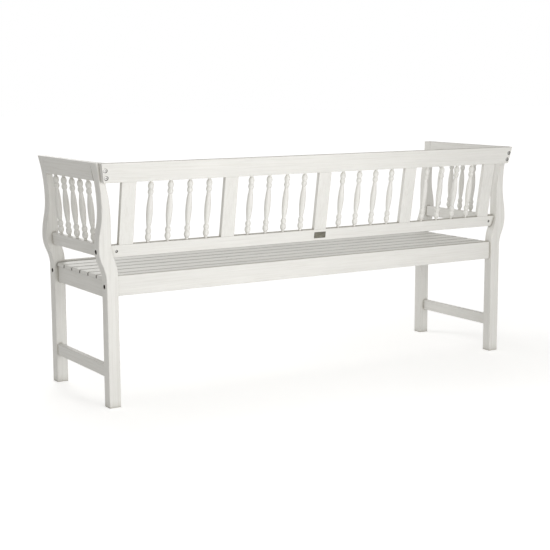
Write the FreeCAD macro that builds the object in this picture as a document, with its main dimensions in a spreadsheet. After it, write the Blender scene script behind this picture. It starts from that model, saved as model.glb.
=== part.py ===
"""Long slatted outdoor bench with S-curved posts, turned spindles and bolted rails.

Millimetres. +X runs along the bench, +Y to its back, +Z up. The origin lies on the floor, in the
middle of the bench's box. Left is +X, as seen from behind.
"""
import FreeCAD, Part
import Sketcher
import math
import os
import re

SIZES = {
    # whole bench, over the legs on the floor
    "bench_width": 1780,
    "bench_depth": 510,
    "bench_height": 855,
    # corner posts: square leg, then an S on the outer edge and a softer one on the inner edge
    "leg_width": 43,
    "leg_depth": 42,
    "knee_drop": 20,
    "belly_drop": 10,
    "belly_out": 27,
    "waist_share": 0.55,
    "waist_out": 13,
    "flare_out": 36,
    "head_width": 35,
    "inner_knee_rise": 2,
    "inner_belly_rise": 5.5,
    "inner_belly_out": 23,
    "neck_share": 0.39,
    "post_chamfer": 1.5,
    # seat
    "apron_bottom": 391,
    "apron_height": 71,
    "apron_thick": 22,
    "apron_setback": 12,
    "slat_count": 6,
    "slat_thick": 13,
    "slat_gap": 8,
    "slat_edge_gap": 1,
    "slat_drop": 5,
    "slat_overhang": 5,
    "slat_round": 5,
    "seat_rail_thick": 20,
    "seat_rail_setback": 15,
    "seat_rail_drop": 8,
    "bearer_thick": 22,
    "bearer_height": 43,
    "stretcher_thick": 20,
    "stretcher_height": 43.5,
    "stretcher_bottom": 104.5,
    "stretcher_setback": 5,
    # back and end panels
    "lower_rail_rise": 108.5,
    "lower_rail_height": 44,
    "lower_rail_thick": 20,
    "lower_rail_housing": 28,
    "back_setback": 24,
    "head_reveal": 1.5,
    "top_rail_height": 66,
    "top_rail_thick": 24,
    "top_rail_end_inset": 10,
    "top_rail_end_slant": 11.5,
    "side_rake": 4.5,
    "side_setback": 5,
    "side_rail_thick": 20,
    "arm_height": 63,
    "arm_thick": 33,
    "arm_foot_out": 10,
    "arm_foot_in": 15,
    "arm_reveal": 1,
    "arm_tenon_in": 3,
    "rail_round": 2,
    "stile_count": 5,
    "stile_width": 55,
    "stile_thick": 18,
    "stile_end_gap": 11.5,
    "bay_spindles": 4,
    "bay_end_gap": 59.5,
    "side_spindles": 5,
    "side_end_gap": 68,
    # turned spindle, from its foot up
    "spindle_foot": 6,
    "spindle_top": 6,
    "foot_neck": 11.5,
    "oval_length": 25,
    "oval_diameter": 22,
    "groove_diameter": 15,
    "ball_length": 20,
    "ball_diameter": 21,
    "body_neck": 13.5,
    "body_gap": 2,
    "body_diameter": 23,
    "peg_diameter": 10,
    "peg_length": 10,
    # stub tenons and their mortises
    "tenon_thick": 8,
    "tenon_length": 8,
    "tenon_shoulder": 7,
    "tenon_wall": 1.5,
    "joint_clearance": 0.2,
    # bolts and barrel nuts
    "bolt_diameter": 6,
    "bolt_clearance": 0.5,
    "bolt_head_diameter": 13,
    "bolt_head_height": 4,
    "bolt_socket": 5,
    "bolt_tip": 8,
    "counterbore_diameter": 16,
    "counterbore_depth": 10,
    "nut_diameter": 10,
    "nut_length": 15,
    "nut_clearance": 0.1,
    "nut_setback": 32,
    "top_bolt_grip": 30,
    "top_bolt_sink": 6,
    "top_bolt_low": 17,
    "top_bolt_low_out": 6,
    "top_bolt_high": 43.5,
    "top_bolt_high_out": 11,
}

# Places and lengths that follow from the sizes. Depths count from the legs' middle, heights from the floor.
DERIVED = {
    "apron_top": "apron_bottom + apron_height",
    "apron_middle": "apron_bottom + apron_height / 2",
    "apron_y": "bench_depth / 2 - apron_setback - apron_thick / 2",
    "slat_base": "apron_top - slat_drop - slat_thick",
    "seat_rail_bottom": "apron_bottom - seat_rail_drop",
    "slat_width": "(span_y - 2 * slat_edge_gap - (slat_count - 1) * slat_gap) / slat_count",
    "outer_x": "bench_width / 2",
    "inner_x": "outer_x - leg_width",
    "post_y": "(bench_depth - leg_depth) / 2",
    "span_y": "bench_depth - 2 * leg_depth",
    # the back leans so that its top rail beds on the backs of the rear posts
    "back_y": "bench_depth / 2 - back_setback",
    "back_z": "apron_top + lower_rail_rise",
    "back_rise": "bench_height - top_rail_height - back_z",
    "back_rake": "atan((back_setback + top_rail_thick / 2 + head_reveal) / back_rise) / 1 deg",
    "back_bed": "top_rail_thick / 2 / cos(back_rake)",
    "back_reach": "back_y + (bench_height - back_z) * tan(back_rake) + back_bed",
    "mid_y": "(back_reach - bench_depth / 2) / 2",
    "head_rake": "(bench_height - back_z) * tan(back_rake) - back_setback - back_bed",
    "head_rake_foot": "back_z + (back_setback + back_bed) / tan(back_rake)",
    "rail_crest": "(bench_height - back_z + top_rail_thick / 2 * sin(back_rake)) / cos(back_rake)",
    "rail_end_x": "inner_x + lower_rail_housing",
    "stile_pitch": "2 * (inner_x - stile_end_gap - stile_width / 2) / (stile_count - 1)",
    "stile_tenon": "stile_width - 2 * tenon_shoulder",
    "bay_pitch": "(stile_pitch - stile_width - 2 * bay_end_gap) / (bay_spindles - 1)",
    "spindle_length": "back_rise / cos(back_rake)",
    # the end panels lean outwards, with the back's spindles
    "side_x": "outer_x - side_setback",
    "side_z": "bench_height - arm_height - spindle_length * cos(side_rake)",
    "side_pitch": "(span_y - 2 * side_end_gap) / (side_spindles - 1)",
    # heights of the post's curves, outside and inside
    "knee": "apron_top - knee_drop",
    "belly": "back_z - belly_drop",
    "waist": "back_z + waist_share * back_rise",
    "inner_knee": "apron_top + inner_knee_rise",
    "inner_belly": "back_z + inner_belly_rise",
    "neck": "back_z + neck_share * back_rise",
    # bores
    "bolt_bore": "bolt_diameter + 2 * bolt_clearance",
    "nut_bore": "nut_diameter + 2 * nut_clearance",
    "peg_bore": "peg_diameter + 2 * joint_clearance",
    "mortise_thick": "tenon_thick + 2 * joint_clearance",
    "mortise_depth": "tenon_length + joint_clearance",
}
TOP_BOLTS = (("top_bolt_low_out", "top_bolt_low"), ("top_bolt_high_out", "top_bolt_high"))
LEFT, RIGHT = 1, -1
FRONT, REAR = -1, 1
SIDE_NAMES = {LEFT: "left", RIGHT: "right"}
END_NAMES = {FRONT: "front", REAR: "rear"}

doc = FreeCAD.newDocument("outdoor_bench")
sheet = doc.addObject("Spreadsheet::Sheet", "Sizes")
for row, (name, size) in enumerate(SIZES.items(), start=1):
    sheet.set(f"A{row}", name)
    sheet.set(f"B{row}", str(size))
    sheet.setAlias(f"B{row}", name)
doc.recompute()
nodes = []


def bound(text):
    """Expression text with derived names written out and the sheet's name put before each size."""
    def written_out(found):
        name = found[0]
        if name in DERIVED:
            return f"({bound(DERIVED[name])})"
        return f"Sizes.{name}" if name in SIZES else name
    return re.sub(r"[a-z_]+", written_out, text)


def number(text):
    """Present value of an expression."""
    return float(sheet.evalExpression(bound(text)))


def signed(sign, text):
    return f"({sign} * ({text}))"


def new_body(label):
    """Empty body whose label is its node's name."""
    body = doc.addObject("PartDesign::Body", label)
    body.Label = label
    nodes.append(body)
    return body


def place(piece, x="0", y="0", z="0", axis=(0, 0, 1), angle="0"):
    """Place a piece by its own point in the bench's frame, with Y counted from the legs' middle."""
    piece.Placement = FreeCAD.Placement(FreeCAD.Vector(), FreeCAD.Rotation(FreeCAD.Vector(*axis), 10))
    piece.setExpression("Placement.Rotation.Angle", bound(angle))
    piece.setExpression("Placement.Base.x", bound(x))
    piece.setExpression("Placement.Base.y", bound(f"{y} - mid_y"))
    piece.setExpression("Placement.Base.z", bound(z))


def place_on_back(piece, x="0"):
    """Place a piece on the leaning back panel: its foot is the lower rail's top, its Z the lean."""
    place(piece, x, "back_y", "back_z", (1, 0, 0), "-back_rake")


def place_on_side(piece, side, y="0"):
    """Place a piece on an end panel, which leans outwards."""
    place(piece, signed(side, "side_x"), y, "side_z", (0, 1, 0), signed(side, "side_rake"))


def on_back(depth, height):
    """Y and Z, from the legs' middle, of a point of the back panel's own frame."""
    y = f"(back_y + ({depth}) * cos(back_rake) + ({height}) * sin(back_rake))"
    z = f"(back_z - ({depth}) * sin(back_rake) + ({height}) * cos(back_rake))"
    return y, z


def on_side(out, height):
    """X and Z, from the leg's outer face, of a point of an end panel's own frame."""
    x = f"(({out}) * cos(side_rake) + ({height}) * sin(side_rake) - side_setback)"
    z = f"(side_z - ({out}) * sin(side_rake) + ({height}) * cos(side_rake))"
    return x, z


def new_sketch(body, plane, offset=("0", "0", "0"), turn=None):
    """Sketch on one of the body's own planes, moved by offset and turned about (axis, angle)."""
    sketch = body.newObject("Sketcher::SketchObject", "Sketch")
    support = next(item for item in body.Origin.OriginFeatures if item.Role == plane)
    sketch.AttachmentSupport = (support, "")
    sketch.MapMode = "FlatFace"
    if turn:
        axis, angle = turn
        rotation = FreeCAD.Rotation(FreeCAD.Vector(*axis), 10)
        sketch.AttachmentOffset = FreeCAD.Placement(FreeCAD.Vector(), rotation)
        sketch.setExpression("AttachmentOffset.Rotation.Angle", bound(angle))
    for letter, text in zip("xyz", offset):
        sketch.setExpression(f"AttachmentOffset.Base.{letter}", bound(text))
    return sketch


def fix_point(sketch, geometry, end, x, y):
    """Tie a point of the sketch to two expressions."""
    for kind, text in (("DistanceX", x), ("DistanceY", y)):
        index = sketch.addConstraint(Sketcher.Constraint(kind, -1, 1, geometry, end, number(text)))
        sketch.setExpression(f"Constraints[{index}]", bound(text))


def arc_between(start, end, radius, turn):
    """Minor arc of a given radius; turn is 1 where it bears left on its way, -1 where right."""
    chord = end - start
    reach = math.sqrt(radius ** 2 - (chord.Length / 2) ** 2)
    normal = FreeCAD.Vector(-chord.y, chord.x, 0).normalize()
    centre = (start + end) / 2 + normal * reach * turn
    first, last = (start, end) if turn > 0 else (end, start)
    angles = [math.atan2(point.y - centre.y, point.x - centre.x) for point in (first, last)]
    return Part.ArcOfCircle(Part.Circle(centre, FreeCAD.Vector(0, 0, 1), radius), *angles)


def add_loop(sketch, corners):
    """Closed loop. A corner is (x, y) before a straight edge, or (x, y, radius, turn) before an arc."""
    points = [FreeCAD.Vector(number(corner[0]), number(corner[1]), 0) for corner in corners]
    ends = []
    for index, corner in enumerate(corners):
        start = points[index]
        end = points[(index + 1) % len(points)]
        if len(corner) == 2:
            edge = sketch.addGeometry(Part.LineSegment(start, end), False)
            ends.append((edge, 1, 2))
        else:
            radius, turn = corner[2:]
            edge = sketch.addGeometry(arc_between(start, end, number(radius), turn), False)
            ends.append((edge, 1, 2) if turn > 0 else (edge, 2, 1))
            tie = sketch.addConstraint(Sketcher.Constraint("Radius", edge, number(radius)))
            sketch.setExpression(f"Constraints[{tie}]", bound(radius))
    for index, (edge, start, end) in enumerate(ends):
        following, begin, _ = ends[(index + 1) % len(ends)]
        sketch.addConstraint(Sketcher.Constraint("Coincident", edge, end, following, begin))
        fix_point(sketch, edge, start, *corners[index][:2])


def add_box(sketch, x, y, width, height):
    """Rectangle by its middle."""
    low_x, high_x = f"({x} - ({width}) / 2)", f"({x} + ({width}) / 2)"
    low_y, high_y = f"({y} - ({height}) / 2)", f"({y} + ({height}) / 2)"
    add_loop(sketch, [(low_x, low_y), (high_x, low_y), (high_x, high_y), (low_x, high_y)])


def add_circle(sketch, x, y, diameter):
    """Circle by its middle."""
    centre = FreeCAD.Vector(number(x), number(y), 0)
    circle = Part.Circle(centre, FreeCAD.Vector(0, 0, 1), number(diameter) / 2)
    index = sketch.addGeometry(circle, False)
    fix_point(sketch, index, 3, x, y)
    tie = sketch.addConstraint(Sketcher.Constraint("Diameter", index, number(diameter)))
    sketch.setExpression(f"Constraints[{tie}]", bound(diameter))


def extrude(body, kind, sketch, length, symmetric=False, reverse=False):
    """Pad or Pocket of a sketch."""
    feature = body.newObject(f"PartDesign::{kind}", kind)
    feature.Profile = sketch
    feature.setExpression("Length", bound(length))
    feature.SideType = "Symmetric" if symmetric else "One side"
    feature.Reversed = reverse
    body.Tip = feature
    doc.recompute()


def cut(body, sketch, length, symmetric=False, reverse=False):
    """Pocket that has to take something away."""
    before = body.Shape.Volume
    extrude(body, "Pocket", sketch, length, symmetric, reverse)
    if body.Shape.Volume > before - 1:
        raise RuntimeError(f"{body.Label}: a cut misses the solid")


def ease_edges(body, kind, measure, size, wanted):
    """Ease the edges of the body's solid so far that the test picks, by a Fillet or a Chamfer."""
    base = body.Tip
    names = [f"Edge{index}" for index, edge in enumerate(base.Shape.Edges, start=1) if wanted(edge)]
    feature = body.newObject(f"PartDesign::{kind}", kind)
    feature.Base = (base, names)
    feature.setExpression(measure, bound(size))
    body.Tip = feature
    doc.recompute()


def round_edges(body, radius, wanted):
    ease_edges(body, "Fillet", "Radius", radius, wanted)


def runs_along(axis):
    """Test for straight edges that run along an axis (0, 1 or 2)."""
    def wanted(edge):
        line = edge.Curve
        return isinstance(line, Part.Line) and abs(line.Direction[axis]) > 0.999
    return wanted


def ogee_radius(across, along):
    """Radius of the two equal arcs that make an S between two parallel tangents."""
    return f"((({across})^2 + ({along})^2) / (4 * ({across})))"


def sweep_radius(across, along):
    """Radius of one arc that leaves a tangent and moves off it by across."""
    return f"((({across})^2 + ({along})^2) / (2 * ({across})))"


def post_outline(side):
    """Post seen from the front: X from the leg's outer face, outwards, and Z from the floor."""
    inner = "(inner_belly_out - leg_width)"
    head = "(flare_out - head_width)"
    lower = ogee_radius("belly_out", "belly - knee")
    upper = ogee_radius("belly_out - waist_out", "waist - belly")
    flare = sweep_radius("flare_out - waist_out", "bench_height - waist")
    throat = ogee_radius(f"{head} - {inner}", "bench_height - neck")
    hollow = ogee_radius("inner_belly_out", "inner_belly - inner_knee")
    corners = [
        ("0", "0"),
        ("0", "knee", lower, -1),
        ("belly_out / 2", "(knee + belly) / 2", lower, 1),
        ("belly_out", "belly", upper, 1),
        ("(belly_out + waist_out) / 2", "(belly + waist) / 2", upper, -1),
        ("waist_out", "waist", flare, -1),
        ("flare_out", "bench_height"),
        (head, "bench_height", throat, -1),
        (f"({head} + {inner}) / 2", "(bench_height + neck) / 2", throat, 1),
        (inner, "neck"),
        (inner, "inner_belly", hollow, -1),
        ("inner_belly_out / 2 - leg_width", "(inner_knee + inner_belly) / 2", hollow, 1),
        ("-leg_width", "inner_knee"),
        ("-leg_width", "0"),
    ]
    outline = []
    for x, z, *arc in corners:
        bend = [arc[0], arc[1] * side] if arc else []
        outline.append((signed(side, x), z, *bend))
    return outline


def rail_tenons():
    """Stub tenons of the four rails of an end: X from the leg's outer face, Z, and height."""
    arm_x, arm_z = on_side("-arm_tenon_in", "spindle_length + arm_height / 2")
    low_x = "(lower_rail_housing + tenon_wall + tenon_thick / 2 - leg_width)"
    low_z = on_side("0", "-lower_rail_height / 2")[1]
    seat_x = "(-seat_rail_setback - seat_rail_thick / 2)"
    seat_height = "((slat_base - seat_rail_bottom) / 2 - tenon_shoulder)"
    step_x = "(-stretcher_setback - stretcher_thick / 2)"
    step_height = "(stretcher_height - 2 * tenon_shoulder)"
    return {
        "arm": (arm_x, arm_z, "(arm_height - 4 * tenon_shoulder)"),
        "side_lower_rail": (low_x, low_z, "(lower_rail_height - 2 * tenon_shoulder)"),
        "side_seat_rail": (seat_x, f"(seat_rail_bottom + tenon_shoulder + {seat_height} / 2)", seat_height),
        "stretcher": (step_x, "(stretcher_bottom + stretcher_height / 2)", step_height),
    }


def make_post(side, end):
    """Corner post, sawn to the S from one board. A rear post's head is raked to bed the top rail."""
    body = new_body(f"{END_NAMES[end]}_post_{SIDE_NAMES[side]}")
    place(body, signed(side, "outer_x"), signed(end, "post_y"))
    sketch = new_sketch(body, "XZ_Plane", ("0", "0", "leg_depth / 2"))
    add_loop(sketch, post_outline(side))
    extrude(body, "Pad", sketch, "leg_depth + head_rake" if end == REAR else "leg_depth", reverse=True)
    if end == REAR:
        back, behind = "leg_depth / 2", "leg_depth / 2 + 2 * head_rake"
        sketch = new_sketch(body, "YZ_Plane")
        add_loop(sketch, [(back, "-leg_width"), (behind, "-leg_width"),
                          (behind, "2 * bench_height - head_rake_foot"), (back, "head_rake_foot")])
        cut(body, sketch, "8 * leg_width", symmetric=True)
    ease_edges(body, "Chamfer", "Size", "post_chamfer", lambda edge: edge.BoundBox.ZLength > 1)

    # mortises of the end's four rails
    sketch = new_sketch(body, "XZ_Plane", ("0", "0", signed(end, "leg_depth / 2")))
    for x, z, height in rail_tenons().values():
        add_box(sketch, signed(side, x), z, "mortise_thick", f"{height} + 2 * joint_clearance")
    cut(body, sketch, "mortise_depth", reverse=end == FRONT)

    # bolt into the apron, and on a rear post into the lower back rail too
    bolts = [("(apron_y - post_y)", "apron_middle", "0")]
    if end == REAR:
        rail_y, rail_z = on_back("0", "-lower_rail_height / 2")
        bolts.append((f"({rail_y} - post_y)", rail_z, "belly_out"))
    for y, z, surface in bolts:
        hole = new_sketch(body, "YZ_Plane")
        add_circle(hole, signed(end, y), z, "bolt_bore")
        cut(body, hole, "8 * leg_width", symmetric=True)
        seat = new_sketch(body, "YZ_Plane", ("0", "0", signed(side, f"{surface} - counterbore_depth")))
        add_circle(seat, signed(end, y), z, "counterbore_diameter")
        cut(body, seat, "leg_width", reverse=side == LEFT)

    if end == REAR:
        # housing for the end of the lower back rail
        half = "lower_rail_thick / 2 + joint_clearance"
        foot = "-lower_rail_height - joint_clearance"
        section = [(f"-({half})", foot), (half, foot), (half, "joint_clearance"), (f"-({half})", "joint_clearance")]
        sketch = new_sketch(body, "YZ_Plane", ("0", "0", signed(side, "lower_rail_housing - leg_width")))
        add_loop(sketch, [(f"({y} - post_y)", z) for y, z in (on_back(*corner) for corner in section)])
        cut(body, sketch, "leg_width", reverse=side == RIGHT)

        # blind holes for the top rail's bolts, square to the raked head
        bed_y, bed_z = on_back("-top_rail_thick / 2", "0")
        sketch = new_sketch(body, "XZ_Plane", ("0", bed_z, f"post_y - {bed_y}"), ((1, 0, 0), "-back_rake"))
        for out, rise in TOP_BOLTS:
            add_circle(sketch, signed(side, out), f"spindle_length + {rise}", "bolt_bore")
        cut(body, sketch, "top_bolt_grip", reverse=True)


def make_end_rail(name, side, section):
    """Rail between the front and rear posts of an end, with a stub tenon at each end."""
    body = new_body(f"{name}_{SIDE_NAMES[side]}")
    place(body, signed(side, "outer_x"))
    sketch = new_sketch(body, "XZ_Plane")
    add_loop(sketch, [(signed(side, x), z) for x, z in section])
    extrude(body, "Pad", sketch, "span_y", symmetric=True)
    round_edges(body, "rail_round", runs_along(1))
    x, z, height = rail_tenons()[name]
    sketch = new_sketch(body, "XZ_Plane")
    add_box(sketch, signed(side, x), z, "tenon_thick", height)
    extrude(body, "Pad", sketch, "span_y + 2 * tenon_length", symmetric=True)
    return body


def side_spindle_y(step):
    return f"side_pitch * ({step} - (side_spindles - 1) / 2)"


def bore_end_rail(body, side, height, downwards):
    """Row of blind peg holes in an end rail, square to the leaning panel."""
    x, z = on_side("0", height)
    sketch = new_sketch(body, "XY_Plane", (signed(side, x), "0", z), ((0, 1, 0), signed(side, "side_rake")))
    for step in range(SIZES["side_spindles"]):
        add_circle(sketch, "0", side_spindle_y(step), "peg_bore")
    cut(body, sketch, "peg_length + joint_clearance", reverse=not downwards)


def make_end(side):
    """Arm, lower rail, seat rail and stretcher of one end."""
    top = "flare_out - arm_reveal"
    arm = make_end_rail("arm", side, [
        on_side("-arm_foot_in", "spindle_length"), on_side("arm_foot_out", "spindle_length"),
        (top, "bench_height"), (f"{top} - arm_thick", "bench_height")])
    bore_end_rail(arm, side, "spindle_length", downwards=False)

    half = "side_rail_thick / 2"
    low = make_end_rail("side_lower_rail", side, [
        on_side(f"-{half}", "-lower_rail_height"), on_side(half, "-lower_rail_height"),
        on_side(half, "0"), on_side(f"-{half}", "0")])
    bore_end_rail(low, side, "0", downwards=True)

    outer, inner = "-seat_rail_setback", "-seat_rail_setback - seat_rail_thick"
    make_end_rail("side_seat_rail", side, [
        (inner, "seat_rail_bottom"), (outer, "seat_rail_bottom"), (outer, "slat_base"), (inner, "slat_base")])

    outer, inner = "-stretcher_setback", "-stretcher_setback - stretcher_thick"
    step_top = "stretcher_bottom + stretcher_height"
    make_end_rail("stretcher", side, [
        (inner, "stretcher_bottom"), (outer, "stretcher_bottom"), (outer, step_top), (inner, step_top)])


def make_apron(end):
    """Board between the posts at the seat, with a bolt and a barrel nut at each end."""
    body = new_body(f"{END_NAMES[end]}_apron")
    place(body, y=signed(end, "apron_y"), z="apron_bottom")
    sketch = new_sketch(body, "YZ_Plane")
    add_box(sketch, "0", "apron_height / 2", "apron_thick", "apron_height")
    extrude(body, "Pad", sketch, "2 * inner_x", symmetric=True)
    round_edges(body, "rail_round", runs_along(0))
    inner_face = ("0", "0", signed(end, "apron_thick / 2"))
    for side in (LEFT, RIGHT):
        sketch = new_sketch(body, "YZ_Plane", ("0", "0", signed(side, "inner_x")))
        add_circle(sketch, "0", "apron_height / 2", "bolt_bore")
        cut(body, sketch, "nut_setback + 2 * bolt_tip", reverse=side == RIGHT)
        sketch = new_sketch(body, "XZ_Plane", inner_face)
        add_circle(sketch, signed(side, "inner_x - nut_setback"), "apron_height / 2", "nut_bore")
        cut(body, sketch, "apron_thick / 2 + nut_length / 2", reverse=end == FRONT)
    sketch = new_sketch(body, "XZ_Plane", inner_face)
    for side in (LEFT, RIGHT):
        add_box(sketch, signed(side, "inner_x / 3"), "slat_base - bearer_height / 2 - apron_bottom",
                "mortise_thick", "bearer_height - 2 * tenon_shoulder + 2 * joint_clearance")
    cut(body, sketch, "mortise_depth", reverse=end == FRONT)


def make_bearer(side):
    """Cross bearer under the slats, tenoned into both aprons at a third of their length."""
    body = new_body(f"seat_bearer_{SIDE_NAMES[side]}")
    place(body, signed(side, "inner_x / 3"), z="slat_base - bearer_height / 2")
    span = "2 * apron_y - apron_thick"
    sketch = new_sketch(body, "XZ_Plane")
    add_box(sketch, "0", "0", "bearer_thick", "bearer_height")
    extrude(body, "Pad", sketch, span, symmetric=True)
    sketch = new_sketch(body, "XZ_Plane")
    add_box(sketch, "0", "0", "tenon_thick", "bearer_height - 2 * tenon_shoulder")
    extrude(body, "Pad", sketch, f"{span} + 2 * tenon_length", symmetric=True)


def make_slat(index):
    """Seat slat along the bench, with eased upper edges."""
    body = new_body(f"seat_slat_{index + 1}")
    place(body, y=f"(slat_width + slat_gap) * ({index} - (slat_count - 1) / 2)", z="slat_base")
    sketch = new_sketch(body, "YZ_Plane")
    add_box(sketch, "0", "slat_thick / 2", "slat_width", "slat_thick")
    extrude(body, "Pad", sketch, "bench_width - 2 * seat_rail_setback + 2 * slat_overhang", symmetric=True)
    middle = number("slat_thick / 2")
    round_edges(body, "slat_round", lambda edge: edge.BoundBox.ZMin > middle)


def stile_x(index):
    return f"(stile_pitch * ({index} - (stile_count - 1) / 2))"


def spindle_x(bay, step):
    return f"({stile_x(bay + 0.5)} + bay_pitch * ({step} - (bay_spindles - 1) / 2))"


def socket_back_rail(body, height, downwards):
    """Mortises for the stiles and peg holes for the spindles in one edge of a back rail."""
    sketch = new_sketch(body, "XY_Plane", ("0", "0", height))
    for index in range(SIZES["stile_count"]):
        add_box(sketch, stile_x(index), "0", "stile_tenon + 2 * joint_clearance", "mortise_thick")
    for bay in range(SIZES["stile_count"] - 1):
        for step in range(SIZES["bay_spindles"]):
            add_circle(sketch, spindle_x(bay, step), "0", "peg_bore")
    cut(body, sketch, "peg_length + joint_clearance", reverse=not downwards)


def make_top_rail():
    """Back top rail, planted on the raked heads of the rear posts, with slanted ends and a level top."""
    body = new_body("back_top_rail")
    place_on_back(body)
    long_end = "(outer_x + flare_out - top_rail_end_inset)"
    short_end = f"({long_end} - top_rail_end_slant)"
    sketch = new_sketch(body, "XZ_Plane")
    add_loop(sketch, [(f"-{short_end}", "spindle_length"), (short_end, "spindle_length"),
                      (long_end, "rail_crest"), (f"-{long_end}", "rail_crest")])
    extrude(body, "Pad", sketch, "top_rail_thick", symmetric=True)
    front_crest = "rail_crest - top_rail_thick * tan(back_rake)"
    sketch = new_sketch(body, "YZ_Plane")
    add_loop(sketch, [("top_rail_thick / 2", "rail_crest"), ("-top_rail_thick / 2", front_crest),
                      ("-top_rail_thick", front_crest), ("-top_rail_thick", "rail_crest")])
    cut(body, sketch, "2 * bench_width", symmetric=True)
    round_edges(body, "rail_round", runs_along(0))
    socket_back_rail(body, "spindle_length", downwards=False)
    for side in (LEFT, RIGHT):
        for out, rise in TOP_BOLTS:
            middle = (signed(side, f"outer_x + {out}"), f"spindle_length + {rise}")
            hole = new_sketch(body, "XZ_Plane")
            add_circle(hole, *middle, "bolt_bore")
            cut(body, hole, "2 * top_rail_thick", symmetric=True)
            seat = new_sketch(body, "XZ_Plane", ("0", "0", "top_bolt_sink - top_rail_thick / 2"))
            add_circle(seat, *middle, "counterbore_diameter")
            cut(body, seat, "top_rail_thick")


def make_lower_back_rail():
    """Back lower rail, housed in the rear posts, with a bolt and a barrel nut at each end."""
    body = new_body("back_lower_rail")
    place_on_back(body)
    sketch = new_sketch(body, "YZ_Plane")
    add_box(sketch, "0", "-lower_rail_height / 2", "lower_rail_thick", "lower_rail_height")
    extrude(body, "Pad", sketch, "2 * rail_end_x", symmetric=True)
    round_edges(body, "rail_round", runs_along(0))
    socket_back_rail(body, "0", downwards=True)
    for side in (LEFT, RIGHT):
        sketch = new_sketch(body, "YZ_Plane", ("0", "0", signed(side, "rail_end_x")))
        add_circle(sketch, "0", "-lower_rail_height / 2", "bolt_bore")
        cut(body, sketch, "nut_setback + 2 * bolt_tip", reverse=side == RIGHT)
        sketch = new_sketch(body, "XZ_Plane", ("0", "0", "-lower_rail_thick / 2"))
        add_circle(sketch, signed(side, "rail_end_x - nut_setback"), "-lower_rail_height / 2", "nut_bore")
        cut(body, sketch, "lower_rail_thick / 2 + nut_length / 2", reverse=True)


def make_stile(index):
    """Flat stile between the two back rails, with a stub tenon at each end."""
    body = new_body(f"back_stile_{index + 1}")
    place_on_back(body, stile_x(index))
    sketch = new_sketch(body, "XZ_Plane")
    add_box(sketch, "0", "spindle_length / 2", "stile_width", "spindle_length")
    extrude(body, "Pad", sketch, "stile_thick", symmetric=True)
    round_edges(body, "rail_round", runs_along(2))
    sketch = new_sketch(body, "XZ_Plane")
    add_box(sketch, "0", "spindle_length / 2", "stile_tenon", "spindle_length + 2 * peg_length")
    extrude(body, "Pad", sketch, "tenon_thick", symmetric=True)


def bead(foot, length, diameter, low_neck, high_neck):
    """Two arcs of a bead, which swell from one neck and draw in to the next."""
    widest = f"({diameter}) / 2"
    swell = sweep_radius(f"({diameter} - {low_neck}) / 2", f"({length}) / 2")
    draw = sweep_radius(f"({diameter} - {high_neck}) / 2", f"({length}) / 2")
    return [(f"{low_neck} / 2", foot, swell, 1), (widest, f"{foot} + ({length}) / 2", draw, 1)]


def make_spindle(label):
    """Turned spindle: foot, oval and ball with a groove between, long swelling body, and ball and oval again."""
    body = new_body(label)
    low_ball = "spindle_foot + oval_length"
    low_gap = f"{low_ball} + ball_length"
    high_oval = "spindle_length - spindle_top - oval_length"
    high_ball = f"{high_oval} - ball_length"
    high_gap = f"{high_ball} - body_gap"
    swell = f"{low_gap} + body_gap"
    swell_length = f"({high_gap} - ({swell}))"
    profile = [("0", "-peg_length"), ("peg_diameter / 2", "-peg_length"),
               ("peg_diameter / 2", "0"), ("foot_neck / 2", "0")]
    profile += bead("spindle_foot", "oval_length", "oval_diameter", "foot_neck", "groove_diameter")
    profile += bead(low_ball, "ball_length", "ball_diameter", "groove_diameter", "body_neck")
    profile += [("body_neck / 2", low_gap)]
    profile += bead(swell, swell_length, "body_diameter", "body_neck", "body_neck")
    profile += [("body_neck / 2", high_gap)]
    profile += bead(high_ball, "ball_length", "ball_diameter", "body_neck", "groove_diameter")
    profile += bead(high_oval, "oval_length", "oval_diameter", "groove_diameter", "foot_neck")
    profile += [("foot_neck / 2", "spindle_length - spindle_top"), ("foot_neck / 2", "spindle_length"),
                ("peg_diameter / 2", "spindle_length"), ("peg_diameter / 2", "spindle_length + peg_length"),
                ("0", "spindle_length + peg_length")]
    sketch = new_sketch(body, "XZ_Plane")
    add_loop(sketch, profile)
    turning = body.newObject("PartDesign::Revolution", "Revolution")
    turning.Profile = sketch
    turning.ReferenceAxis = (sketch, ["V_Axis"])
    turning.Angle = 360
    body.Tip = turning
    return body


def new_cylinder(name, diameter, length):
    """Part cylinder along Z."""
    piece = doc.addObject("Part::Cylinder", name)
    piece.setExpression("Radius", bound(f"({diameter}) / 2"))
    piece.setExpression("Height", bound(length))
    return piece


def make_bolt(length):
    """Cylinder-head bolt with a hexagon socket; its head sits on Z 0 and its shank runs down."""
    shank = new_cylinder("Shank", "bolt_diameter", length)
    shank.setExpression("Placement.Base.z", bound(f"-({length})"))
    head = new_cylinder("Head", "bolt_head_diameter", "bolt_head_height")
    whole = doc.addObject("Part::Fuse", "Bolt")
    whole.Base, whole.Tool = head, shank
    socket = doc.addObject("Part::Prism", "Socket")
    socket.Polygon = 6
    socket.setExpression("Circumradius", bound("bolt_socket / 2 / cos(30)"))
    socket.setExpression("Height", bound("bolt_head_height"))
    socket.setExpression("Placement.Base.z", bound("bolt_head_height / 3"))
    bolt = doc.addObject("Part::Cut", "SocketBolt")
    bolt.Base, bolt.Tool = whole, socket
    return bolt


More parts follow.
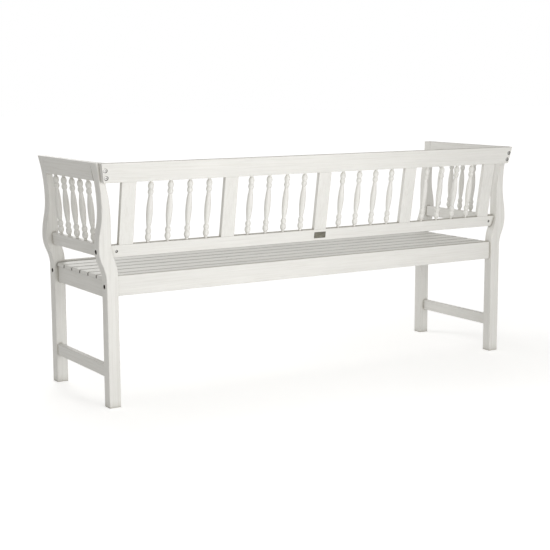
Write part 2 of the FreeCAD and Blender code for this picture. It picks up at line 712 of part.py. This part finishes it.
def make_nut():
    """Barrel nut along Z about its middle, with a cross hole along X for the bolt."""
    barrel = new_cylinder("Barrel", "nut_diameter", "nut_length")
    barrel.setExpression("Placement.Base.z", bound("-nut_length / 2"))
    hole = new_cylinder("CrossHole", "bolt_diameter + 2 * nut_clearance", "2 * nut_diameter")
    hole.Placement = FreeCAD.Placement(FreeCAD.Vector(), FreeCAD.Rotation(FreeCAD.Vector(0, 1, 0), 90))
    hole.setExpression("Placement.Base.x", bound("-nut_diameter"))
    nut = doc.addObject("Part::Cut", "BarrelNut")
    nut.Base, nut.Tool = barrel, hole
    return nut


def make_group(label, pieces):
    """Fasteners of one kind, as one node of separate solids."""
    group = doc.addObject("Part::Compound", label)
    group.Label = label
    group.Links = pieces
    nodes.append(group)


def make_fasteners():
    """Bolts through the posts with their barrel nuts, and bolts of the top rail."""
    rail_y, rail_z = on_back("0", "-lower_rail_height / 2")
    seat_joint = ("outer_x - counterbore_depth", "inner_x - nut_setback", "apron_middle", "90")
    rail_joint = ("outer_x + belly_out - counterbore_depth", "rail_end_x - nut_setback", rail_z, "90 - back_rake")
    frame_bolts, nuts, top_bolts = [], [], []
    for side in (LEFT, RIGHT):
        joints = [(signed(end, "apron_y"), *seat_joint) for end in (FRONT, REAR)]
        joints.append((rail_y, *rail_joint))
        for y, head_x, nut_x, z, nut_turn in joints:
            bolt = make_bolt(f"{head_x} - ({nut_x}) + bolt_tip")
            place(bolt, signed(side, head_x), y, z, (0, 1, 0), signed(side, "90"))
            frame_bolts.append(bolt)
            nut = make_nut()
            place(nut, signed(side, nut_x), y, z, (1, 0, 0), nut_turn)
            nuts.append(nut)
        for out, rise in TOP_BOLTS:
            bolt = make_bolt("top_rail_thick - top_bolt_sink + top_bolt_grip - bolt_tip / 2")
            y, z = on_back("top_rail_thick / 2 - top_bolt_sink", f"spindle_length + {rise}")
            place(bolt, signed(side, f"outer_x + {out}"), y, z, (1, 0, 0), "-90 - back_rake")
            top_bolts.append(bolt)
    make_group("frame_bolts", frame_bolts)
    make_group("barrel_nuts", nuts)
    make_group("top_rail_bolts", top_bolts)


for side in (LEFT, RIGHT):
    for end in (FRONT, REAR):
        make_post(side, end)
    make_end(side)
    make_bearer(side)
    for step in range(SIZES["side_spindles"]):
        spindle = make_spindle(f"side_spindle_{SIDE_NAMES[side]}_{step + 1}")
        place_on_side(spindle, side, side_spindle_y(step))
for end in (FRONT, REAR):
    make_apron(end)
for index in range(SIZES["slat_count"]):
    make_slat(index)
make_top_rail()
make_lower_back_rail()
for index in range(SIZES["stile_count"]):
    make_stile(index)
for bay in range(SIZES["stile_count"] - 1):
    for step in range(SIZES["bay_spindles"]):
        spindle = make_spindle(f"back_spindle_{bay + 1}_{step + 1}")
        place_on_back(spindle, spindle_x(bay, step))
make_fasteners()
doc.recompute()

for item in doc.Objects:
    if "Invalid" in item.State or "Error" in item.State:
        raise RuntimeError(f"{item.Label} failed: {item.State}")
for node in nodes:
    if node.Shape.isNull() or not node.Shape.isValid():
        raise RuntimeError(f"{node.Label} has no valid shape")
os.makedirs("parts", exist_ok=True)
for node in nodes:
    node.Shape.exportStep(f"parts/{node.Label}.step")
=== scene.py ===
"""Looks of a long white outdoor bench: brushed whitewash over grain, plated bolts and a bare plate."""

import math

import bpy
import numpy as np
from mathutils import Matrix, Vector


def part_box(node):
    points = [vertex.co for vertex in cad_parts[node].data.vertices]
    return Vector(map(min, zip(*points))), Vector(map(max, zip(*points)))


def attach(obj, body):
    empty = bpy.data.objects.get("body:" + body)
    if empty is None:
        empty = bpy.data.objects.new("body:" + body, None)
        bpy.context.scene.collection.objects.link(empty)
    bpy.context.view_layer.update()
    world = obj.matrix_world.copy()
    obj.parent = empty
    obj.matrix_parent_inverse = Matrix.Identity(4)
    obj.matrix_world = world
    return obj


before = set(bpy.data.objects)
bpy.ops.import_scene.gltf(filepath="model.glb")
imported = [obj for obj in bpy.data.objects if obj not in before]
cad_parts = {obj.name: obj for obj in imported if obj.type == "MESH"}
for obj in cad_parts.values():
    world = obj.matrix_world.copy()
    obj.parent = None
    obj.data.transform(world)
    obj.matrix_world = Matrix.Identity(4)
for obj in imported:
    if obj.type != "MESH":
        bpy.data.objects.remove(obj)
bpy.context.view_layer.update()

MM = 0.001
LEFT, RIGHT = 1, -1
X_GRAIN, Y_GRAIN, Z_GRAIN = 0, 1, 2


# Shader helpers

def feed(tree, socket, value):
    """Give a socket a value, or link another node's output to it."""
    if isinstance(value, bpy.types.NodeSocket):
        tree.links.new(value, socket)
    else:
        socket.default_value = value


def add_node(tree, kind, inputs=None, **settings):
    """Node with its settings; an input is a value or another node's output."""
    node = tree.nodes.new(kind)
    for name, value in settings.items():
        setattr(node, name, value)
    for socket, value in (inputs or {}).items():
        feed(tree, node.inputs[socket], value)
    return node


def new_material(name):
    """Material with its node tree, its main shader and its Object coordinates."""
    material = bpy.data.materials.new(name)
    material.use_nodes = True
    tree = material.node_tree
    place = add_node(tree, "ShaderNodeTexCoord").outputs["Object"]
    return material, tree, tree.nodes["Principled BSDF"], place


def set_surface(tree, shader, tone, roughness, metallic=0.0):
    """Main shader's colour, roughness and metal, each a value or another node's output."""
    for name, value in (("Base Color", tone), ("Roughness", roughness), ("Metallic", metallic)):
        feed(tree, shader.inputs[name], value)


def add_bump(tree, shader, height, strength, distance):
    """Fine relief that follows a height."""
    relief = {"Strength": strength, "Distance": distance, "Height": height}
    tree.links.new(add_node(tree, "ShaderNodeBump", relief).outputs[0], shader.inputs["Normal"])


def along(axis, drawn_out, across):
    """Stretch that draws cells out along one axis."""
    stretch = [across] * 3
    stretch[axis] = drawn_out
    return stretch


def evenly(cells):
    """Stretch that is the same along each axis."""
    return [cells] * 3


def noise(tree, place, stretch, detail=5.0, roughness=0.6, distortion=0.0):
    """Noise whose cells are drawn out or squeezed along each axis by the stretch (cells per metre)."""
    mapped = add_node(tree, "ShaderNodeMapping", {"Vector": place, "Scale": stretch})
    cells = {"Vector": mapped.outputs[0], "Scale": 1.0, "Detail": detail, "Roughness": roughness,
             "Distortion": distortion}
    return add_node(tree, "ShaderNodeTexNoise", cells).outputs[0]


def as_colour(tone):
    """Grey or colour as an opaque colour."""
    return (*tone, 1.0) if isinstance(tone, tuple) else (tone, tone, tone, 1.0)


def ramp(tree, factor, stops):
    """Colour or grey that runs between two stops along a factor."""
    node = add_node(tree, "ShaderNodeValToRGB", {"Fac": factor})
    for point, (place, tone) in zip(node.color_ramp.elements, stops):
        point.position = place
        point.color = as_colour(tone)
    return node.outputs[0]


def combine(tree, first, second, operation="ADD"):
    """Two numbers added, multiplied or otherwise worked into one."""
    return add_node(tree, "ShaderNodeMath", {0: first, 1: second}, operation=operation).outputs[0]


def map_range(tree, value, start, end, low=0.0, high=1.0):
    """Number carried from one range to another and held at its ends."""
    spans = {0: value, 1: start, 2: end, 3: low, 4: high}
    return add_node(tree, "ShaderNodeMapRange", spans).outputs[0]


# Colour sockets of a mix node
MIX_FACTOR, MIX_BELOW, MIX_ABOVE, MIX_RESULT = 0, 6, 7, 2


def blend_colours(tree, factor, below, above, mode="MIX"):
    """Two colours mixed by a factor."""
    colours = {MIX_FACTOR: factor, MIX_BELOW: below, MIX_ABOVE: above}
    node = add_node(tree, "ShaderNodeMix", colours, data_type="RGBA", blend_type=mode)
    return node.outputs[MIX_RESULT]


def darken(tree, tone, *layers):
    """Tone multiplied by one layer after another."""
    for layer in layers:
        tone = blend_colours(tree, 1.0, tone, layer, "MULTIPLY")
    return tone


def openness(tree, reach):
    """Share of open space in front of a face, out to a reach."""
    return add_node(tree, "ShaderNodeAmbientOcclusion", {"Distance": reach}, samples=8).outputs["AO"]


# Finishes: paint, its fibres, what wears it, and painted shade in joints, nooks, slat gaps and on tops
PAINT = (0.84, 0.832, 0.80)
FIBRE = (0.785, 0.774, 0.735)
RUBBED_ARRIS = (0.52, 0.505, 0.465)
# Painted shade: the next four tones darken joints, slat gaps, nooks and the turnings' nooks
JOINT_SHADE = (0.46, 0.44, 0.40)
SLAT_GAP_SHADE = (0.09, 0.086, 0.076)
NOOK_SHADE = (0.66, 0.645, 0.61)
TURNING_NOOK_SHADE = (0.9, 0.89, 0.87)
# Painted shade on up-facing tops
TOP_SHADE = (0.62, 0.605, 0.565)
CLEAN = (1.0, 1.0, 1.0)

# Painted shade by how open a face is, from shut to open
BOARD_SHADE = ((0.2, JOINT_SHADE), (0.78, CLEAN))
TURNING_SHADE = ((0.15, JOINT_SHADE), (0.6, CLEAN))
SLAT_SHADE = ((0.55, SLAT_GAP_SHADE), (0.98, CLEAN))

# How far wear reaches from an arris, and painted shade from a joint and from a nook
ARRIS_REACH, JOINT_REACH, NOOK_REACH = 2.2 * MM, 16.0 * MM, 60.0 * MM

# Agreement of the rounded and the true normal, where the wear starts and where it is full
WEAR_STARTS, WEAR_FULL = 0.985, 0.86

# Cells per metre, along and across the grain
FIBRE_CELLS, BAND_CELLS, PORE_CELLS = (5.0, 210.0), (1.3, 30.0), (38.0, 900.0)
CLOUD_CELLS = 6.0

# Other tones: painted shade inside a bore, and the plate's bronze
BORE_SHADE_DARK, BORE_SHADE_LIGHT = (0.022, 0.019, 0.016), (0.062, 0.054, 0.045)
DARK_BRONZE, PALE_BRONZE, RIM_BRONZE = (0.118, 0.113, 0.086), (0.215, 0.207, 0.168), (0.068, 0.065, 0.047)
RIM_BLEND = 0.6 * MM


def whitewashed(name, grain, shade_stops=BOARD_SHADE, nook_shade=NOOK_SHADE, top_shade=CLEAN):
    """White paint brushed along a board: fibres and pores, rubbed arrises, painted shade in joints, nooks and
    on up-facing tops.
    """
    material, tree, shader, place = new_material(name)
    fibres = noise(tree, place, along(grain, *FIBRE_CELLS), detail=6.0, roughness=0.65, distortion=0.7)
    bands = noise(tree, place, along(grain, *BAND_CELLS), detail=3.0, roughness=0.5, distortion=1.2)
    pores = noise(tree, place, along(grain, *PORE_CELLS), detail=2.0, roughness=0.5)
    clouds = noise(tree, place, evenly(CLOUD_CELLS), detail=3.0)
    tone = darken(tree, ramp(tree, fibres, [(0.34, FIBRE), (0.54, PAINT)]),
                  ramp(tree, bands, [(0.38, 0.975), (0.6, 1.0)]),
                  ramp(tree, clouds, [(0.35, 0.975), (0.65, 1.0)]),
                  ramp(tree, pores, [(0.29, 0.93), (0.36, 1.0)]))

    # arrises: where a rounded normal leaves the face's own normal, broken up by the clouds
    rounded = add_node(tree, "ShaderNodeBevel", {"Radius": ARRIS_REACH}, samples=4).outputs[0]
    face = add_node(tree, "ShaderNodeNewGeometry").outputs["Normal"]
    normals = {0: rounded, 1: face}
    flatness = add_node(tree, "ShaderNodeVectorMath", normals, operation="DOT_PRODUCT").outputs["Value"]
    arris = map_range(tree, flatness, WEAR_STARTS, WEAR_FULL)
    rubbed = ramp(tree, clouds, [(0.42, 0.2), (0.62, 0.55)])
    tone = blend_colours(tree, combine(tree, arris, rubbed, "MULTIPLY"), tone, as_colour(RUBBED_ARRIS))

    # painted shade in joints and nooks, where a face has little open space, and painted shade on what looks
    # up
    joint_shading = ramp(tree, openness(tree, JOINT_REACH), shade_stops)
    nook_shading = ramp(tree, openness(tree, NOOK_REACH), [(0.3, nook_shade), (0.75, CLEAN)])
    upwards = add_node(tree, "ShaderNodeSeparateXYZ", {0: face}).outputs["Z"]
    top_shading = ramp(tree, upwards, [(0.75, CLEAN), (0.95, top_shade)])
    tone = darken(tree, tone, joint_shading, nook_shading, top_shading)

    set_surface(tree, shader, tone, ramp(tree, fibres, [(0.3, 0.62), (0.7, 0.46)]))
    relief = combine(tree, fibres, combine(tree, pores, 0.4, "MULTIPLY"))
    add_bump(tree, shader, relief, strength=0.16, distance=0.35 * MM)
    return material


def plated_steel(name, tone, dull):
    """Zinc plate with fine turning marks and dull patches."""
    material, tree, shader, place = new_material(name)
    marks = noise(tree, place, evenly(900.0), detail=3.0)
    patches = noise(tree, place, evenly(160.0), detail=4.0)
    plate = ramp(tree, patches, [(0.3, dull), (0.65, tone)])
    set_surface(tree, shader, plate, ramp(tree, marks, [(0.3, 0.52), (0.7, 0.34)]), metallic=1.0)
    add_bump(tree, shader, marks, strength=0.15, distance=0.1 * MM)
    return material


def painted_bore_shade(name):
    """Painted shade inside a bolt's or a nut's hole: near-black mottled tones."""
    material, tree, shader, place = new_material(name)
    shade_mottle = noise(tree, place, evenly(420.0), detail=4.0)
    tone = ramp(tree, shade_mottle, [(0.3, BORE_SHADE_DARK), (0.7, BORE_SHADE_LIGHT)])
    set_surface(tree, shader, tone, roughness=0.85)
    add_bump(tree, shader, shade_mottle, strength=0.4, distance=0.2 * MM)
    return material


def aged_bronze(name, middle, turn, field_half):
    """Olive bronze sheet, brushed along its length, with a darker rim outside its flat field."""
    material, tree, shader, place = new_material(name)
    ends = {0: place, 1: middle}
    from_middle = add_node(tree, "ShaderNodeVectorMath", ends, operation="SUBTRACT").outputs[0]
    level = {"Vector": from_middle, "Rotation": (turn, 0.0, 0.0)}
    flat = add_node(tree, "ShaderNodeMapping", level).outputs[0]
    brushed = noise(tree, flat, along(X_GRAIN, 60.0, 2600.0), detail=2.0)
    patina = noise(tree, flat, evenly(90.0), detail=5.0)
    sides = add_node(tree, "ShaderNodeSeparateXYZ", {0: flat}).outputs
    reaches = []
    for side, half in zip((sides["X"], sides["Z"]), field_half):
        distance = add_node(tree, "ShaderNodeMath", {0: side}, operation="ABSOLUTE").outputs[0]
        reaches.append(combine(tree, distance, half, "SUBTRACT"))
    rim = map_range(tree, combine(tree, *reaches, "MAXIMUM"), 0.0, RIM_BLEND)
    tone = ramp(tree, patina, [(0.35, DARK_BRONZE), (0.7, PALE_BRONZE)])
    tone = blend_colours(tree, rim, tone, as_colour(RIM_BRONZE))
    set_surface(tree, shader, tone, ramp(tree, brushed, [(0.3, 0.62), (0.7, 0.42)]), metallic=0.35)
    add_bump(tree, shader, brushed, strength=0.12, distance=0.1 * MM)
    return material


# The long boards get painted shade on their up-facing tops
long_board = whitewashed("whitewash_along_bench", X_GRAIN, top_shade=TOP_SHADE)
end_board = whitewashed("whitewash_across_bench", Y_GRAIN)
upright = whitewashed("whitewash_upright", Z_GRAIN)
turning = whitewashed("whitewash_turned", Z_GRAIN, TURNING_SHADE, TURNING_NOOK_SHADE)
seat_board = whitewashed("whitewash_seat", X_GRAIN, SLAT_SHADE)
bolt_plate = plated_steel("plated_bolt", tone=(0.50, 0.495, 0.48), dull=(0.33, 0.325, 0.315))
nut_plate = plated_steel("plated_nut", tone=(0.60, 0.595, 0.58), dull=(0.42, 0.415, 0.405))
# Near-black finish that paints shade inside the bolt and nut holes
bore_shade_paint = painted_bore_shade("painted_shade_in_bores")

# The first of these words found in a node's name gives its finish
FINISHES = (
    ("spindle", turning),
    ("post", upright),
    ("stile", upright),
    ("arm", end_board),
    ("side_", end_board),
    ("stretcher", end_board),
    ("bearer", end_board),
    ("barrel_nuts", nut_plate),
    ("bolts", bolt_plate),
    ("apron", long_board),
    ("slat", seat_board),
    ("back_", long_board),
)
for name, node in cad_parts.items():
    finish = next(material for word, material in FINISHES if word in name)
    for material_slot in node.material_slots:
        material_slot.material = finish


# Shapes worked out as whole arrays
CREASE = math.radians(32.0)
WELD_DIGITS = 7


def grid_triangles(rows, columns, closed_profile):
    """Two triangles for each cell of a grid whose columns go round; its rows close too if asked."""
    cell_rows = rows if closed_profile else rows - 1
    row, column = np.meshgrid(np.arange(cell_rows), np.arange(columns), indexing="ij")
    next_row, next_column = (row + 1) % rows, (column + 1) % columns
    a, b = row * columns + column, row * columns + next_column
    c, d = next_row * columns + next_column, next_row * columns + column
    return np.concatenate([np.stack(corners, -1).reshape(-1, 3) for corners in ((a, b, c), (a, c, d))])


def carried_round(profile, outline):
    """Profile (share out, height) carried round an outline (x, y): share times outline, at the height."""
    profile, outline = np.asarray(profile, float), np.asarray(outline, float)
    across = profile[:, None, :1] * outline[None, :, :]
    height = np.broadcast_to(profile[:, None, 1:], across.shape[:2] + (1,))
    return np.concatenate([across, height], -1)


def ring(radius, steps):
    """Circle as an outline."""
    angle = np.linspace(0.0, 2.0 * math.pi, steps, endpoint=False)
    return radius * np.stack([np.cos(angle), np.sin(angle)], -1)


def soft_rectangle(width, height, steps, power):
    """Superellipse: cosine and sine of the angle, each raised to two over the power, with its sign."""
    unit = ring(1.0, steps)
    bent = np.sign(unit) * np.abs(unit) ** (2.0 / power)
    return bent * np.array([width / 2.0, height / 2.0])


def set_in_place(grid, origin, across, up, out):
    """Grid's own x, y and z laid along three directions from an origin."""
    return np.asarray(origin) + grid @ np.array([across, up, out], float)


def build_piece(name, shapes, material):
    """One mesh of closed shapes, each a grid and whether its profile closes on itself."""
    points, faces, count = [], [], 0
    for grid, closed_profile in shapes:
        corners = grid.reshape(-1, 3)
        triangles = grid_triangles(*grid.shape[:2], closed_profile)
        a, b, c = (corners[triangles[:, side]] - corners.mean(0) for side in range(3))
        if np.einsum("ij,ij->", a, np.cross(b, c)) < 0.0:
            triangles = triangles[:, ::-1]
        points.append(corners)
        faces.append(triangles + count)
        count += len(corners)
    rounded = np.round(np.concatenate(points), WELD_DIGITS)
    places, index = np.unique(rounded, axis=0, return_inverse=True)
    faces = index.reshape(-1)[np.concatenate(faces)]
    whole = (faces != np.roll(faces, 1, axis=1)).all(1)
    mesh = bpy.data.meshes.new(name)
    mesh.from_pydata(places.tolist(), [], faces[whole].tolist())
    mesh.polygons.foreach_set("use_smooth", np.ones(len(mesh.polygons), bool))
    mesh.set_sharp_from_angle(angle=CREASE)
    mesh.materials.append(material)
    piece = bpy.data.objects.new(name, mesh)
    bpy.context.scene.collection.objects.link(piece)
    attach(piece, "root")


def middle_of(node):
    """Middle of a node's box, in metres."""
    low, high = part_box(node)
    return (np.array(low) + np.array(high)) / 2.0


# Leaning back panel: its directions and the foot of its spindles, in the middle of the lower rail's top
BACK_RISE, BACK_RUN = 218.5 * MM, 37.5 * MM
BACK_LEAN = math.atan2(BACK_RUN, BACK_RISE)
BACK_UP = np.array([0.0, math.sin(BACK_LEAN), math.cos(BACK_LEAN)])
BACK_OUT = np.array([0.0, math.cos(BACK_LEAN), -math.sin(BACK_LEAN)])
LOWER_RAIL_HEIGHT, LOWER_RAIL_THICK, TOP_RAIL_THICK = 44.0 * MM, 20.0 * MM, 24.0 * MM
BACK_FOOT = middle_of("back_lower_rail") + LOWER_RAIL_HEIGHT / 2.0 * BACK_UP


def on_back(x, out, up):
    """Point of the leaning back from its foot: along the bench, out of its middle plane, and up it."""
    return np.array([x, 0.0, 0.0]) + BACK_FOOT + out * BACK_OUT + up * BACK_UP


def make_plate():
    """Bare plate on the lower back rail: a soft rectangle with a raised rim round a flat field."""
    width, height, field = 51.0 * MM, 23.5 * MM, 0.9
    steps, corner_power = 96, 30.0
    face = on_back(0.0, LOWER_RAIL_THICK / 2.0, -LOWER_RAIL_HEIGHT / 2.0)

    # back, side, rounded rim and field: share of the outline, and height in mm
    section = np.array([(0.0, -0.3), (1.0, -0.3), (1.0, 0.7), (0.985, 1.0), (0.965, 1.15), (0.935, 1.15),
                        (0.915, 1.0), (field, 0.75), (0.0, 0.75)]) * np.array([1.0, MM])
    outline = soft_rectangle(width, height, steps, corner_power)
    grid = set_in_place(carried_round(section, outline), face, (-1.0, 0.0, 0.0), BACK_UP, BACK_OUT)
    bronze = aged_bronze("aged_bronze", face, BACK_LEAN, (field * width / 2.0, field * height / 2.0))
    build_piece("bare_plate", [(grid, False)], bronze)


def make_bore_shade_linings():
    """Painted shade in each bolt and nut hole: a thin closed section carried round a circle."""
    leg_width, belly_out, post_bore_deep = 43.0 * MM, 27.0 * MM, 10.0 * MM
    rail_bore_deep, nut_deep, lip = 6.0 * MM, 2.4 * MM, 0.5 * MM
    bore, nut_bore, wall, film = 7.95 * MM, 5.06 * MM, 0.5 * MM, 0.15 * MM
    bolt_ring, nut_ring, nut_setback, steps = 1.4 * MM, 2.3 * MM, 32.0 * MM, 40
    bolt_places = ((6.0 * MM, 17.0 * MM), (11.0 * MM, 43.5 * MM))
    bolted_boards = (("front_apron", 0.0), ("rear_apron", 0.0), ("back_lower_rail", belly_out))
    nut_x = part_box("back_lower_rail")[1].x - nut_setback
    leg_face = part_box("front_apron")[1].x + leg_width
    spindle_length = BACK_RISE / math.cos(BACK_LEAN)
    rail_floor = TOP_RAIL_THICK / 2.0 - rail_bore_deep
    nut_floor = LOWER_RAIL_THICK / 2.0 - nut_deep

    # each hole: middle of its floor, directions, radius, width of the ring on its floor, and depth
    holes = []
    backwards = ((-1.0, 0.0, 0.0), BACK_UP, BACK_OUT)
    for side in (LEFT, RIGHT):
        endwards = ((0.0, 1.0, 0.0), (0.0, 0.0, 1.0), (side, 0.0, 0.0))
        for board, surface in bolted_boards:
            floor = np.array([side * (leg_face + surface - post_bore_deep), *middle_of(board)[1:]])
            holes.append((floor, endwards, bore, bolt_ring, post_bore_deep - 2.0 * lip))
        for out, rise in bolt_places:
            floor = on_back(side * (leg_face + out), rail_floor, spindle_length + rise)
            holes.append((floor, backwards, bore, bolt_ring, rail_bore_deep - lip))
        floor = on_back(side * nut_x, nut_floor, -LOWER_RAIL_HEIGHT / 2.0)
        holes.append((floor, backwards, nut_bore, nut_ring, nut_deep - lip))

    linings = []
    for floor, directions, radius, ring_width, depth in holes:
        section = [(radius - ring_width, 0.0), (radius, 0.0), (radius, depth), (radius - wall, depth),
                   (radius - wall, film), (radius - ring_width, film)]
        linings.append((set_in_place(carried_round(section, ring(1.0, steps)), floor, *directions), True))
    build_piece("bore_shade_linings", linings, bore_shade_paint)


def screw_head():
    """Countersunk head: a low dome less a cross-shaped recess, as heights over a polar grid, closed below."""
    radius, dome_rise, proud, foot = 4.0 * MM, 0.35 * MM, 0.1 * MM, -1.5 * MM
    recess_deep, recess_reach, recess_end = 0.9 * MM, 2.5 * MM, 0.5 * MM
    arm_half, arm_slope = 0.75 * MM, 0.35 * MM
    rings, steps = 12, 32
    reach = np.concatenate([np.linspace(0.0, 1.0, rings), [1.0, 0.0]]) * radius
    flat = reach[:, None, None] * ring(1.0, steps)[None]
    dome = dome_rise * (1.0 - (reach / radius) ** 2)[:, None]
    from_arm = np.minimum(np.abs(flat[..., 0]), np.abs(flat[..., 1]))
    inside = np.clip((recess_reach - reach) / recess_end, 0.0, 1.0)[:, None]
    recess = np.clip((arm_half - from_arm) / arm_slope, 0.0, 1.0) * inside
    height = dome + proud - recess_deep * recess
    height[-2:] = foot
    return np.concatenate([flat, height[..., None]], -1)


def make_slat_screws():
    """Two painted screws where each slat crosses a seat rail or a bearer."""
    slat_count = 6
    carriers = ("side_seat_rail_left", "side_seat_rail_right", "seat_bearer_left", "seat_bearer_right")
    head = screw_head()
    grids = []
    for index in range(1, slat_count + 1):
        low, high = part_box(f"seat_slat_{index}")
        middle, offset = (low.y + high.y) / 2.0, (high.y - low.y) / 4.0
        for carrier in carriers:
            x = middle_of(carrier)[0]
            for y in (middle - offset, middle + offset):
                grids.append((head + np.array([x, y, high.z]), False))
    build_piece("slat_screws", grids, turning)


make_plate()
# Linings that paint shade inside the bolt and nut holes
make_bore_shade_linings()
make_slat_screws()


# Studio: pale floor, white surround, three softboxes behind the bench and one before it

def seen_directly(tree):
    """One where a camera, glossy or transmitted ray looks straight at the surround or the floor."""
    rays = add_node(tree, "ShaderNodeLightPath").outputs
    seen = combine(tree, rays["Is Camera Ray"], rays["Is Glossy Ray"], "MAXIMUM")
    return combine(tree, seen, rays["Is Transmission Ray"], "MAXIMUM")


def make_floor():
    """Pale floor: one flat square, lifted towards white where it is seen, less so near the shadow."""
    reach = 30.0
    near, far, near_lift, far_lift = 0.8, 3.0, 0.42, 0.66
    mesh = bpy.data.meshes.new("floor")
    corners = reach * np.array([(-1, -1, 0), (1, -1, 0), (1, 1, 0), (-1, 1, 0)], float)
    mesh.from_pydata(corners.tolist(), [], [(0, 1, 2, 3)])
    material, tree, shader, place = new_material("pale_floor")
    tone = ramp(tree, noise(tree, place, evenly(3.0)), [(0.3, 0.885), (0.7, 0.9)])
    set_surface(tree, shader, tone, roughness=0.9)
    away = add_node(tree, "ShaderNodeVectorMath", {0: place}, operation="LENGTH").outputs["Value"]
    lift = map_range(tree, away, near, far, near_lift, far_lift)
    lift = combine(tree, seen_directly(tree), lift, "MULTIPLY")
    glow = add_node(tree, "ShaderNodeEmission", {"Strength": lift})
    both = add_node(tree, "ShaderNodeAddShader", {0: shader.outputs[0], 1: glow.outputs[0]})
    tree.links.new(both.outputs[0], tree.nodes["Material Output"].inputs["Surface"])
    mesh.materials.append(material)
    floor = bpy.data.objects.new("floor", mesh)
    bpy.context.scene.collection.objects.link(floor)


def make_surround(fill, tint):
    """World that fills with even, slightly warm light and is white where it is seen."""
    world = bpy.data.worlds.new("surround")
    world.use_nodes = True
    tree = world.node_tree
    background = tree.nodes["Background"].inputs
    seen = seen_directly(tree)
    tree.links.new(map_range(tree, seen, 0.0, 1.0, fill, 1.0), background["Strength"])
    tree.links.new(blend_colours(tree, seen, as_colour(tint), as_colour(CLEAN)), background["Color"])
    bpy.context.scene.world = world


def make_softbox(name, place, aim, width, height, power):
    """Upright softbox turned towards a point, unseen by the camera."""
    lamp = bpy.data.lights.new(name, "AREA")
    lamp.shape = "RECTANGLE"
    lamp.size, lamp.size_y = width, height
    lamp.energy = power
    softbox = bpy.data.objects.new(name, lamp)
    softbox.location = place
    softbox.rotation_euler = (Vector(aim) - Vector(place)).to_track_quat("-Z", "Y").to_euler()
    softbox.visible_camera = False
    bpy.context.scene.collection.objects.link(softbox)


def make_camera():
    """Camera of the photograph: its place in metres, its turns in radians and its lens in pixels."""
    image_size, sensor, far_clip = 550.0, 36.0, 200.0
    place = Vector((2.6968, 4.2352, 1.1483))
    heading, tilt, roll = -2.1465, 0.1549, -0.0006
    focal, centre_x = 1282.5, 300.0
    level_reach = math.cos(tilt)
    forward = Vector((level_reach * math.cos(heading), level_reach * math.sin(heading), -math.sin(tilt)))
    level = forward.cross(Vector((0.0, 0.0, 1.0))).normalized()
    lift = level.cross(forward)
    right = math.cos(roll) * level + math.sin(roll) * lift
    up = right.cross(forward)
    camera = bpy.data.objects.new("camera", bpy.data.cameras.new("camera"))
    camera.data.sensor_width = sensor
    camera.data.lens = focal / image_size * sensor
    camera.data.shift_x = (image_size / 2.0 - centre_x) / image_size
    camera.data.clip_end = far_clip
    turn = Matrix((right, up, -forward)).transposed()
    camera.matrix_world = Matrix.Translation(place) @ turn.to_4x4()
    bpy.context.scene.collection.objects.link(camera)
    bpy.context.scene.camera = camera


make_floor()
make_surround(fill=0.45, tint=(1.0, 0.985, 0.95))
make_softbox("back_softbox", place=(0.1, 3.5, 0.8), aim=(0.1, 0.0, 0.7),
             width=3.2, height=1.6, power=29.5)
make_softbox("left_softbox", place=(2.1, 3.3, 0.8), aim=(0.9, -0.1, 0.6),
             width=0.8, height=1.4, power=10.0)
make_softbox("near_softbox", place=(0.45, 1.7, 0.65), aim=(-0.3, 0.0, 0.6),
             width=0.7, height=1.2, power=5.2)
make_softbox("front_softbox", place=(0.4, -1.6, 1.5), aim=(-0.5, 0.0, 0.55),
             width=1.0, height=0.9, power=11.0)
make_camera()
bpy.context.scene.view_settings.view_transform = "Standard"
